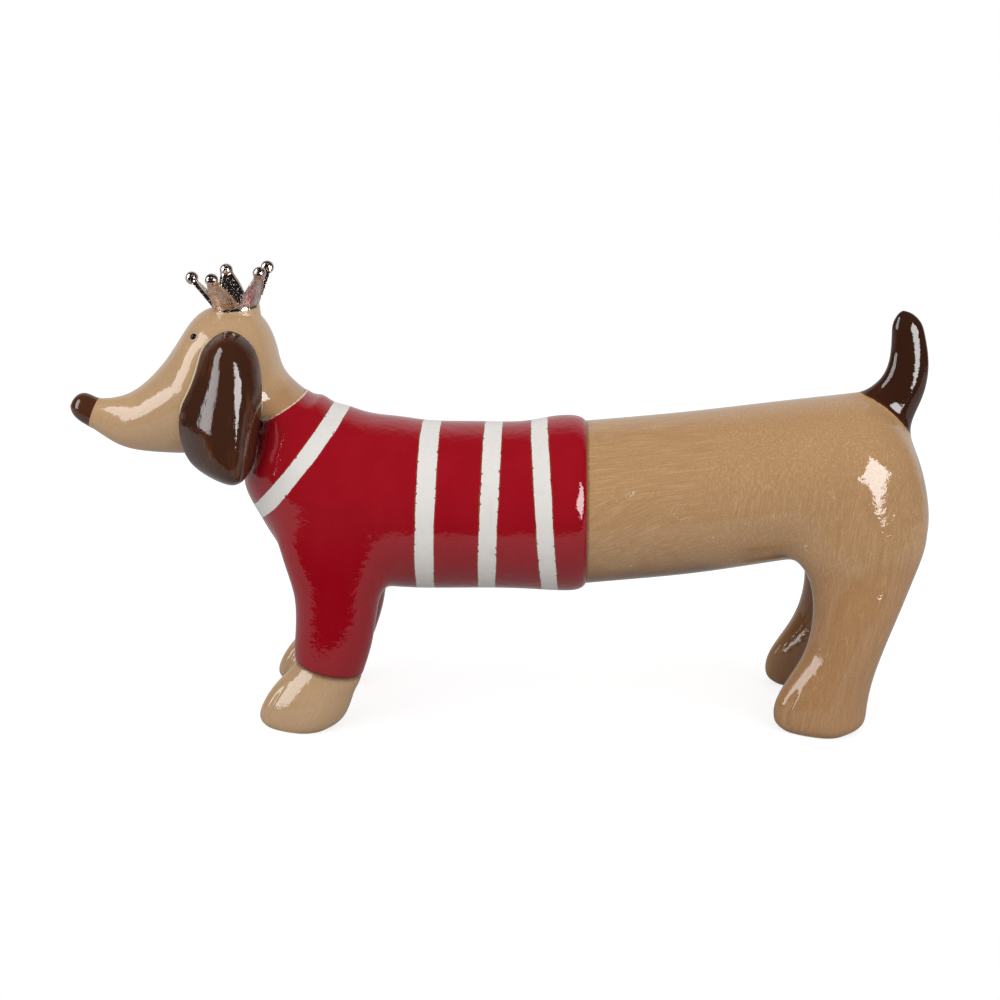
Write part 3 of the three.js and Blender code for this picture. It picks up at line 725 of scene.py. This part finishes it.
class Nodes:
    # Short ways to add shader nodes to a tree and join them. A value is a number, a colour or
    # another node's output. here is the vector that textures are placed by.
    def __init__(self, tree, here=None):
        self.tree = tree
        self.here = here

    def add(self, kind, inputs=None, **settings):
        node = self.tree.nodes.new("ShaderNode" + kind)
        for name, value in settings.items():
            setattr(node, name, value)
        for name, value in (inputs or {}).items():
            self.put(node.inputs[name], value)
        return node

    def put(self, socket, value):
        if isinstance(value, bpy.types.NodeSocket):
            self.tree.links.new(value, socket)
        elif socket.type == "RGBA" and len(value) == 3:
            socket.default_value = (*value, 1)
        else:
            socket.default_value = value

    def math(self, operation, *values):
        return self.add("Math", dict(enumerate(values)), operation=operation).outputs[0]

    def plus(self, first, second):
        return self.math("ADD", first, second)

    def less(self, first, second):
        return self.math("SUBTRACT", first, second)

    def times(self, first, second):
        return self.math("MULTIPLY", first, second)

    def step(self, value, low, high, start=0, end=1):
        inputs = {"Value": value, "From Min": low, "From Max": high, "To Min": start, "To Max": end}
        return self.add("MapRange", inputs, interpolation_type="SMOOTHSTEP").outputs[0]

    def mix(self, share, first, second):
        return self.add("Mix", {0: share, 6: first, 7: second}, data_type="RGBA").outputs[2]

    def stain(self, color, other, value, low, high, most=1):
        # The other colour comes in where the value goes from low to high, up to a share.
        return self.mix(self.step(value, low, high, 0, most), color, other)

    def noise(self, scale, detail=2.0, rough=0.5, at=None):
        vector = self.here if at is None else at
        inputs = {"Vector": vector, "Scale": scale, "Detail": detail, "Roughness": rough}
        return self.add("TexNoise", inputs).outputs[0]

    def wavered(self, value, amount, *noise):
        # A value plus an amount of noise
        return self.plus(value, self.times(self.noise(*noise), amount))

    def turned(self, turn=(0, 0, 0), place=(0, 0, 0), scale=(1, 1, 1)):
        turn = tuple(math.radians(t) for t in turn)
        inputs = {"Vector": self.here, "Location": place, "Rotation": turn, "Scale": scale}
        return self.add("Mapping", inputs).outputs[0]

    def parts(self, vector):
        return self.add("SeparateXYZ", {0: vector}).outputs

    def mark(self, name):
        return self.add("Attribute", attribute_name=name).outputs["Fac"]

    def group(self, name, **inputs):
        inputs = {"Vector": self.here, **inputs}
        return self.add("Group", inputs, node_tree=bpy.data.node_groups[name]).outputs

    def strokes(self, turn):
        # The brush strokes along a direction, turned about Y by some degrees
        return self.group("brushStrokes", Vector=self.turned((0, turn, 0)))


def newGroup(name, inputs, outputs):
    # An empty group with its sockets: a vector and values go in, and values come out.
    tree = bpy.data.node_groups.new(name, "ShaderNodeTree")
    tree.interface.new_socket("Vector", in_out="INPUT", socket_type="NodeSocketVector")
    for way, labels in (("INPUT", inputs), ("OUTPUT", outputs)):
        for label in labels:
            tree.interface.new_socket(label, in_out=way, socket_type="NodeSocketFloat")
    given = tree.nodes.new("NodeGroupInput").outputs
    return Nodes(tree, given["Vector"]), given, tree.nodes.new("NodeGroupOutput").inputs


def makeStrokes():
    # Marks of the brush along X: long fine streaks and broader cloudy ones, both about a half.
    nodes, _, out = newGroup("brushStrokes", [], ["Fine", "Broad"])
    fine = nodes.turned(scale=(0.05, 1, 1))
    broad = nodes.turned(scale=(0.035, 0.12, 0.12))
    nodes.put(out["Fine"], nodes.noise(1.9, 2, 0.6, fine))
    nodes.put(out["Broad"], nodes.noise(1, 3, 0.55, broad))


stripePaint = {
    "soft": 0.05, "slow": 0.7, "quick": 0.4, "nick": -0.35, "line": (-0.1, 0, 0.34, 0.5),
    "farSide": 0.6,
}


def makeStripe():
    # A painted stripe that crosses X, with a slant and a bend along Z and a wandering edge. The
    # edge output is the thin bare line beside it, stronger on its first side.
    nodes, given, out = newGroup("paintedStripe", ["Slant", "Bend", "Half Width", "Line"], ["Mask", "Edge"])
    parts = nodes.parts(nodes.here)
    lean = nodes.times(parts["Z"], given["Slant"])
    bend = nodes.times(nodes.times(parts["Z"], parts["Z"]), given["Bend"])
    across = nodes.less(parts["X"], nodes.plus(lean, bend))
    slow = nodes.less(nodes.noise(0.1), 0.5)
    quick = nodes.less(nodes.noise(1.3, 3, 0.65), 0.5)
    nick = nodes.step(nodes.noise(0.8), 0.62, 0.66, 0, stripePaint["nick"])
    wander = nodes.plus(nodes.times(slow, stripePaint["slow"]), nodes.times(quick, stripePaint["quick"]))
    half = nodes.plus(given["Half Width"], nodes.plus(wander, nick))
    off = nodes.less(nodes.math("ABSOLUTE", across), half)
    nodes.put(out["Mask"], nodes.step(off, stripePaint["soft"], -stripePaint["soft"]))
    begin, full, fall, end = stripePaint["line"]
    line = nodes.times(nodes.step(off, end, fall), nodes.step(off, begin, full))
    breaks = nodes.step(nodes.noise(0.9, 3, 0.6), 0.42, 0.52)
    firstSide = nodes.step(across, 0.5, -0.5, stripePaint["farSide"], 1)
    line = nodes.times(nodes.times(line, breaks), firstSide)
    nodes.put(out["Edge"], nodes.times(line, given["Line"]))


def makeGlazeSkin():
    # The surface of a fired glaze: a slight orange peel, and rare pinholes.
    nodes, _, out = newGroup("glazeSkin", [], ["Height", "Pinholes"])
    cells = nodes.add("TexVoronoi", {"Vector": nodes.here, "Scale": 0.16}).outputs
    rare = nodes.step(nodes.parts(cells["Color"])["X"], 0.86, 0.9)
    holes = nodes.times(nodes.step(cells["Distance"], 0.05, 0.02), rare)
    peel = nodes.wavered(nodes.noise(0.35), 0.12, 1.6)
    nodes.put(out["Height"], nodes.plus(peel, nodes.times(holes, -0.3)))
    nodes.put(out["Pinholes"], holes)


makeStrokes()
makeStripe()
makeGlazeSkin()


def newMaterial(name, roughness, ior):
    # A material with its nodes and its shader's sockets
    material = bpy.data.materials.new(name)
    material.use_nodes = True
    nodes = Nodes(material.node_tree)
    shader = material.node_tree.nodes["Principled BSDF"]
    nodes.put(shader.inputs["Roughness"], roughness)
    nodes.put(shader.inputs["IOR"], ior)
    return material, nodes, shader.inputs


def newGlaze(name, roughness=0.07, ior=1.55):
    # Its textures are placed by object coordinates in millimetres.
    material, nodes, inputs = newMaterial(name, roughness, ior)
    scaled = {0: nodes.add("TexCoord").outputs["Object"], "Scale": 1 / mm}
    nodes.here = nodes.add("VectorMath", scaled, operation="SCALE").outputs[0]
    return material, nodes, inputs


def ripple(nodes, inputs, height, distance=0.1, strength=1.0):
    # Height in millimetres becomes the slope that the shader sees.
    bumped = nodes.add("Bump", {"Height": height, "Distance": distance * mm, "Strength": strength})
    nodes.put(inputs["Normal"], bumped.outputs[0])


def furrow(nodes, inputs, turn, deep, strength=1.0):
    # The orange peel of the glaze over the furrows of the brush
    furrows = nodes.times(nodes.strokes(turn)["Fine"], deep)
    height = nodes.plus(nodes.group("glazeSkin")["Height"], furrows)
    ripple(nodes, inputs, height, strength=strength)


tan = {
    "light": (0.52, 0.315, 0.155), "mid": (0.475, 0.275, 0.133), "dark": (0.4, 0.22, 0.1),
    "streak": (0.6, 0.38, 0.2), "creamy": (0.62, 0.42, 0.25), "low": (0.38, 0.17, 0.065),
    "darkest": (0.2, 0.085, 0.03), "clay": (0.82, 0.66, 0.46), "line": (0.8, 0.66, 0.46),
    "furrows": 0.1,
}
# a colour, the mark that it follows, where on that mark it starts and is full, and its share
tanLayers = [
    ("light", "broad", 0.3, 0.7, 0.35),
    ("streak", "fine", 0.5, 0.7, 0.7),
    ("dark", "fine", 0.46, 0.32, 0.5),
    ("dark", "grain", 0.52, 0.3, 0.55),
    ("streak", "grain", 0.52, 0.75, 0.5),
]
brown = {
    "dark": (0.056, 0.0192, 0.0098), "red": (0.14, 0.042, 0.015), "deep": (0.02, 0.006, 0.004),
    "furrows": 0.25,
}
red = {"deep": (0.3, 0.001, 0.008), "bright": (0.355, 0.007, 0.015), "darkest": (0.12, 0.002, 0.006)}
cream = {"paint": (0.83, 0.795, 0.76), "thin": (0.76, 0.71, 0.66), "edge": (0.22, 0.1, 0.03)}
black = {"even": (0.004, 0.003, 0.003), "cloud": (0.012, 0.009, 0.008)}
lustre = {"bright": (0.74, 0.64, 0.58), "ruddy": (0.56, 0.42, 0.35), "speck": (0.12, 0.08, 0.07)}


def tanPaint(nodes, turn):
    # Tan underglaze brushed along a direction: streaks, clouds, fine grain and a few scratches.
    strokes = nodes.strokes(turn)
    marks = {"broad": strokes["Broad"], "fine": strokes["Fine"], "grain": nodes.noise(1.9, 2, 0.7)}
    color = tan["mid"]
    for tone, mark, low, high, share in tanLayers:
        color = nodes.stain(color, tan[tone], marks[mark], low, high, share)
    ridge = nodes.math("ABSOLUTE", nodes.less(nodes.noise(0.22), 0.5))
    patches = nodes.step(nodes.noise(0.13, 1), 0.64, 0.7, 0, 0.7)
    color = nodes.mix(nodes.times(nodes.step(ridge, 0.008, 0.002), patches), color, tan["line"])
    pinholes = nodes.group("glazeSkin")["Pinholes"]
    return nodes.mix(nodes.times(pinholes, 0.6), color, tan["darkest"])


def bareSole(nodes, color):
    # Bare pale clay where a foot was wiped clean of glaze, up to a wavering line.
    edge = nodes.wavered(nodes.parts(nodes.here)["Z"], -0.5, 0.5)
    return nodes.stain(color, tan["clay"], edge, 0.25, 0.1)


def brownPaint(nodes, turn):
    # Chocolate glaze, thin and reddish in streaks along the stroke.
    strokes = nodes.strokes(turn)
    broad = nodes.step(strokes["Broad"], 0.5, 0.72, 0, 0.7)
    return nodes.mix(nodes.times(broad, nodes.step(strokes["Fine"], 0.35, 0.65)), brown["dark"], brown["red"])


# turn about Y, place across and along, slant, bend, half width, and how strong the bare line is
stripeRows = [
    (0, -23.55, 75, 0.033, 0, 3.05, 0.9),
    (0, -2.95, 75, 0.038, 0, 2.9, 0.9),
    (0, 14.9, 75, -0.07, 0, 2.75, 0.9),
    (-38.5, -106.1, 29.5, 0, -0.0016, 2.65, 0.35),
]


def makeSweaterGlaze():
    material, nodes, inputs = newGlaze("striped_red_glaze", 0.03)
    parts = nodes.parts(nodes.here)
    strokes = nodes.strokes(90)
    # Painted light: the red brightens towards the top, between 60 and 92 mm up, and also in broad brush
    # clouds.
    height = nodes.wavered(parts["Z"], 30, 0.05)
    litTopAndClouds = nodes.plus(nodes.step(height, 60, 92, 0, 0.75), nodes.step(strokes["Broad"], 0.35, 0.7, 0, 0.25))
    color = nodes.mix(litTopAndClouds, red["deep"], red["bright"])
    color = nodes.stain(color, red["bright"], strokes["Fine"], 0.55, 0.8, 0.25)
    worn = nodes.noise(1.2, 3, 0.6, nodes.turned(scale=(0.6, 0.6, 0.08)))
    paint = nodes.stain(cream["paint"], cream["thin"], worn, 0.5, 0.75, 0.6)
    mask, edge = 0, 0
    for turn, across, along, slant, bend, half, line in stripeRows:
        vector = nodes.turned((0, turn, 0), (-across, 0, -along))
        values = {"Slant": slant, "Bend": bend, "Half Width": half, "Line": line}
        stripe = nodes.group("paintedStripe", Vector=vector, **values)
        mask = nodes.math("MAXIMUM", mask, stripe["Mask"])
        edge = nodes.math("MAXIMUM", edge, stripe["Edge"])
    color = nodes.mix(mask, nodes.mix(edge, color, cream["edge"]), paint)
    # The red darkens at the cuff's edge and over the last of the hem.
    nearCuff = nodes.wavered(nodes.mark("aboveCuff"), -1.6, 0.4, 3, 0.6)
    color = nodes.stain(color, red["darkest"], nearCuff, 0.5, -0.3, 0.75)
    color = nodes.stain(color, red["darkest"], parts["X"], body["hem"] - 1.5, body["hem"] - 0.7, 0.6)
    collar = nodes.wavered(nodes.mark("pastCollar"), -0.3, 0.5)
    nodes.put(inputs["Base Color"], nodes.stain(color, tan["line"], collar, 0.5, 0.3))
    relief = nodes.plus(nodes.times(nodes.group("glazeSkin")["Height"], 1.8), nodes.times(mask, 0.15))
    brushed = nodes.turned(scale=(0.25, 0.25, 1))
    ripple(nodes, inputs, nodes.wavered(relief, 0.35, 0.9, 3, 0.6, brushed))
    return material


# degrees of the strokes on the belly side, on the back and towards the tail, and where they change
rearPaint = {"below": 28, "above": 8, "behind": 82, "tail": 100, "upFrom": (100, 112), "backFrom": (84, 96)}


def makeRearGlaze():
    material, nodes, inputs = newGlaze("tan_and_brown_glaze", 0.03)
    parts = nodes.parts(nodes.here)
    border = nodes.wavered(parts["Z"], 60, 0.05)
    along = nodes.wavered(parts["X"], 40, 0.06)
    below, above, behind = (tanPaint(nodes, rearPaint[part]) for part in ("below", "above", "behind"))
    color = nodes.mix(nodes.step(border, *rearPaint["upFrom"]), below, above)
    color = nodes.mix(nodes.step(along, *rearPaint["backFrom"]), color, behind)
    # Painted shade: the tan darkens towards the bottom, between 94 and 78 mm up.
    color = nodes.stain(color, tan["low"], border, 94, 78, 0.35)
    # The tan darkens along the hem.
    hem = nodes.wavered(parts["X"], -0.9, 0.5, 3, 0.6)
    color = nodes.stain(color, tan["darkest"], hem, body["hem"] - 0.5, body["hem"] - 1.3, 0.75)
    # Painted shade: the inner sides of the legs, near the middle, darken below the belly in the darkest tan.
    inside = nodes.step(nodes.math("ABSOLUTE", parts["Y"]), 24, 15)
    paintedLegShade = nodes.times(inside, nodes.step(border, 92, 74, 0, 0.85))
    color = bareSole(nodes, nodes.mix(paintedLegShade, color, tan["darkest"]))
    offRump = nodes.wavered(nodes.mark("offRump"), 0.4, 0.6)
    painted = nodes.times(nodes.step(offRump, 1.2, 1.4), nodes.step(parts["Z"], 94, 96))
    tail = brownPaint(nodes, rearPaint["tail"])
    tail = nodes.stain(tail, brown["red"], offRump, 2.6, 1.2, 0.55)
    tail = nodes.mix(0.4, tail, brown["deep"])
    nodes.put(inputs["Base Color"], nodes.mix(painted, color, tail))
    furrow(nodes, inputs, rearPaint["below"], tan["furrows"])
    return material


def makeHeadGlaze(turn):
    material, nodes, inputs = newGlaze("tan_head_glaze")
    color = nodes.mix(0.5, tanPaint(nodes, turn), tan["creamy"])
    # Painted shade: the neck darkens towards the collar, under the head.
    neck = nodes.wavered(nodes.mark("pastCollar"), 6, 0.3)
    color = nodes.stain(color, tan["low"], neck, -7, 0, 0.5)
    rim = nodes.wavered(nodes.mark("fromEars"), -0.3, 0.8)
    color = nodes.stain(color, tan["dark"], rim, 1.5, 0.5, 0.35)
    color = nodes.stain(color, tan["line"], rim, 0.45, 0.25, 0.9)
    color = nodes.stain(color, tan["line"], nodes.mark("fromEye"), 1.55, 1.35, 0.85)
    nodes.put(inputs["Base Color"], color)
    furrow(nodes, inputs, turn, tan["furrows"])
    return material


def makePawGlaze(turn):
    material, nodes, inputs = newGlaze("tan_paw_glaze")
    color = nodes.mix(0.55, tanPaint(nodes, turn), tan["creamy"])
    # The tan darkens just below the cuff.
    nearCuff = nodes.wavered(nodes.mark("aboveCuff"), -1, 0.5, 3, 0.6)
    color = nodes.stain(color, tan["darkest"], nearCuff, -2.4, -0.9, 0.75)
    nodes.put(inputs["Base Color"], bareSole(nodes, color))
    furrow(nodes, inputs, turn, tan["furrows"])
    return material


def makeBrownGlaze(name, turn, strength=1.0, thin=0.0):
    material, nodes, inputs = newGlaze(name, 0.05)
    nodes.put(inputs["Base Color"], nodes.mix(thin, brownPaint(nodes, turn), brown["red"]))
    furrow(nodes, inputs, turn, brown["furrows"], strength)
    return material


def makeEyeGlaze():
    material, nodes, inputs = newGlaze("black_eye_glaze", 0.04, 1.35)
    nodes.put(inputs["Base Color"], nodes.mix(nodes.noise(1.5), black["even"], black["cloud"]))
    return material


def makeLustre():
    # Silver fired on the glaze: a mirror that greys and reddens where it is thin, with dark specks.
    # It ends at a wavering line above the head.
    material, nodes, inputs = newGlaze("silver_lustre_glaze", ior=1.5)
    clouds = nodes.noise(0.35, 3, 0.6)
    specks = nodes.step(nodes.noise(1.7, 3, 0.6), 0.6, 0.7)
    color = nodes.stain(lustre["bright"], lustre["ruddy"], clouds, 0.35, 0.65)
    color = nodes.mix(nodes.times(specks, 0.6), color, lustre["speck"])
    lustred = nodes.step(nodes.wavered(nodes.mark("aboveSeat"), -0.5, 0.8), -1.3, -1)
    nodes.put(inputs["Base Color"], nodes.mix(lustred, tan["creamy"], color))
    nodes.put(inputs["Metallic"], lustred)
    nodes.put(inputs["Roughness"], nodes.step(clouds, 0.3, 0.7, 0.04, 0.12))
    ripple(nodes, inputs, nodes.plus(nodes.noise(0.5, 3, 0.6), nodes.times(specks, -0.25)), 0.35)
    return material


tanPaw = makePawGlaze(60)
tanRear = makeRearGlaze()
darkEar = makeBrownGlaze("chocolate_ear_glaze", 84)
darkNose = makeBrownGlaze("chocolate_nose_glaze", 15, 0.5, 0.35)
settleInto(sweaterPiece, makeSweaterGlaze(), "red_glaze", "sweater_body", "front_leg_left", "front_leg_right")
settleInto(rearPiece, tanRear, "tan_glaze", "rear_body", "hind_leg_left", "hind_leg_right")
settleInto(tailPiece, tanRear, "brown_glaze", "tail")
settleInto(headPiece, makeHeadGlaze(35), "tan_glaze", "head")
settleInto(nosePiece, darkNose, "brown_glaze", "nose")
settleInto(crownPiece, makeLustre(), "silver_lustre", "crown")
blackEye = makeEyeGlaze()
for (hand, _), pawPiece, earPiece, eyePiece in zip(leftRight, pawPieces, earPieces, eyePieces):
    settleInto(pawPiece, tanPaw, "tan_glaze", f"front_paw_{hand}")
    settleInto(earPiece, darkEar, "brown_glaze", f"ear_{hand}")
    settleInto(eyePiece, blackEye, "black_glaze", f"eye_{hand}")

# The studio: a white table that ends in front of the dog, a white wall behind, and darkness beyond
print("studio")
studio = {
    "tableFront": -165, "tableBack": 700, "tableSide": 900, "tableTone": 0.42,
    "cameraGlow": 0.76, "glossGlow": 0.1, "edge": (0.35, 0.85), "wall": (0.02, 0.63),
    "ambientRise": (-0.2, 0.9), "ambient": (0.66, 0.74), "lampsMiddle": 75,
}
# azimuth from the camera's side, elevation, distance, width, height, turn, radiance, for gloss only
lamps = {
    "shine_left": (-72, 25, 900, 400, 880, 0, 5.5, True),
    "shine_right": (44, 13, 1000, 560, 560, 45, 11, True),
    "soft_left": (-55, 32, 1100, 900, 900, 0, 0.95, False),
    "soft_right": (50, 32, 1100, 900, 900, 0, 1.05, False),
    "soft_front": (0, 6, 1200, 1200, 500, 0, 0.65, False),
}


def makeTable():
    # A level plane of five by four patches, so that its front edge has points along it.
    x = np.linspace(-studio["tableSide"], studio["tableSide"], 6)
    y = np.linspace(studio["tableFront"], studio["tableBack"], 5)
    gx, gy = np.meshgrid(x, y, indexing="ij")
    points = np.stack([gx.ravel(), gy.ravel(), 0 * gx.ravel()], axis=1)
    first = (np.arange(5)[:, None] * 5 + np.arange(4)).ravel()
    faces = np.stack([first, first + 5, first + 6, first + 1], axis=1)
    mesh = bpy.data.meshes.new("table")
    mesh.from_pydata((points * mm).tolist(), [], faces.tolist())
    material, nodes, inputs = newMaterial("white_table", 0.9, 1.5)
    nodes.put(inputs["Base Color"], [studio["tableTone"]] * 3)
    nodes.put(inputs["Specular IOR Level"], 0.0)
    rays = nodes.add("LightPath").outputs
    seen = nodes.math("MAXIMUM", rays["Is Camera Ray"], rays["Is Transmission Ray"])
    glow = nodes.times(seen, studio["cameraGlow"])
    gloss = nodes.times(rays["Is Glossy Ray"], studio["glossGlow"])
    nodes.put(inputs["Emission Color"], (1, 1, 1))
    nodes.put(inputs["Emission Strength"], nodes.plus(glow, gloss))
    mesh.materials.append(material)
    newObject("table", mesh)


def makeWorld():
    # White to the camera, a soft pale wall to gloss that looks back, and a plain level otherwise.
    world = bpy.data.worlds.new("studio")
    bpy.context.scene.world = world
    world.use_nodes = True
    nodes = Nodes(world.node_tree)
    way = nodes.parts(nodes.add("TexCoord").outputs["Generated"])
    wall = nodes.step(way["Y"], *studio["edge"], *studio["wall"])
    plain = nodes.step(way["Z"], *studio["ambientRise"], *studio["ambient"])
    rays = nodes.add("LightPath").outputs
    seen = nodes.math("MAXIMUM", rays["Is Camera Ray"], rays["Is Transmission Ray"])
    level = nodes.add("Mix", {0: rays["Is Glossy Ray"], 2: plain, 3: wall}).outputs[0]
    level = nodes.add("Mix", {0: seen, 2: level, 3: 1.0}).outputs[0]
    background = world.node_tree.nodes["Background"].inputs
    nodes.put(background["Color"], (1, 1, 1))
    nodes.put(background["Strength"], level)


def fromAngles(azimuth, elevation):
    azimuth, elevation = math.radians(azimuth), math.radians(elevation)
    flat = math.cos(elevation)
    return Vector((math.sin(azimuth) * flat, -math.cos(azimuth) * flat, math.sin(elevation)))


def makeLamps():
    middle = Vector((0, 0, studio["lampsMiddle"]))
    for name, (azimuth, elevation, distance, width, height, turn, level, glossOnly) in lamps.items():
        light = bpy.data.lights.new(name, "AREA")
        light.shape = "RECTANGLE"
        light.size, light.size_y = width * mm, height * mm
        light.energy = level * math.pi * light.size * light.size_y
        holder = newObject(name, light)
        way = fromAngles(azimuth, elevation)
        holder.location = (middle + way * distance) * mm
        facing = (-way).to_track_quat("-Z", "Y").to_matrix()
        spun = facing @ Matrix.Rotation(math.radians(turn), 3, "Z")
        holder.rotation_euler = spun.to_euler()
        holder.visible_diffuse = not glossOnly
        holder.visible_glossy = glossOnly
        holder.visible_camera = False


# The camera
camera = {"distance": 620, "elevation": 14.5, "azimuth": 1.5, "target": (0, 0, 72.5), "lens": 66.1}


def makeCamera():
    back = fromAngles(camera["azimuth"], camera["elevation"])
    data = bpy.data.cameras.new("camera")
    data.lens = camera["lens"]
    data.sensor_width = 36
    data.clip_start = 0.01
    holder = newObject("camera", data)
    holder.location = (Vector(camera["target"]) + back * camera["distance"]) * mm
    holder.rotation_euler = (-back).to_track_quat("-Z", "Y").to_euler()
    bpy.context.scene.camera = holder


makeTable()
makeWorld()
makeLamps()
makeCamera()
bpy.context.scene.view_settings.view_transform = "Standard"
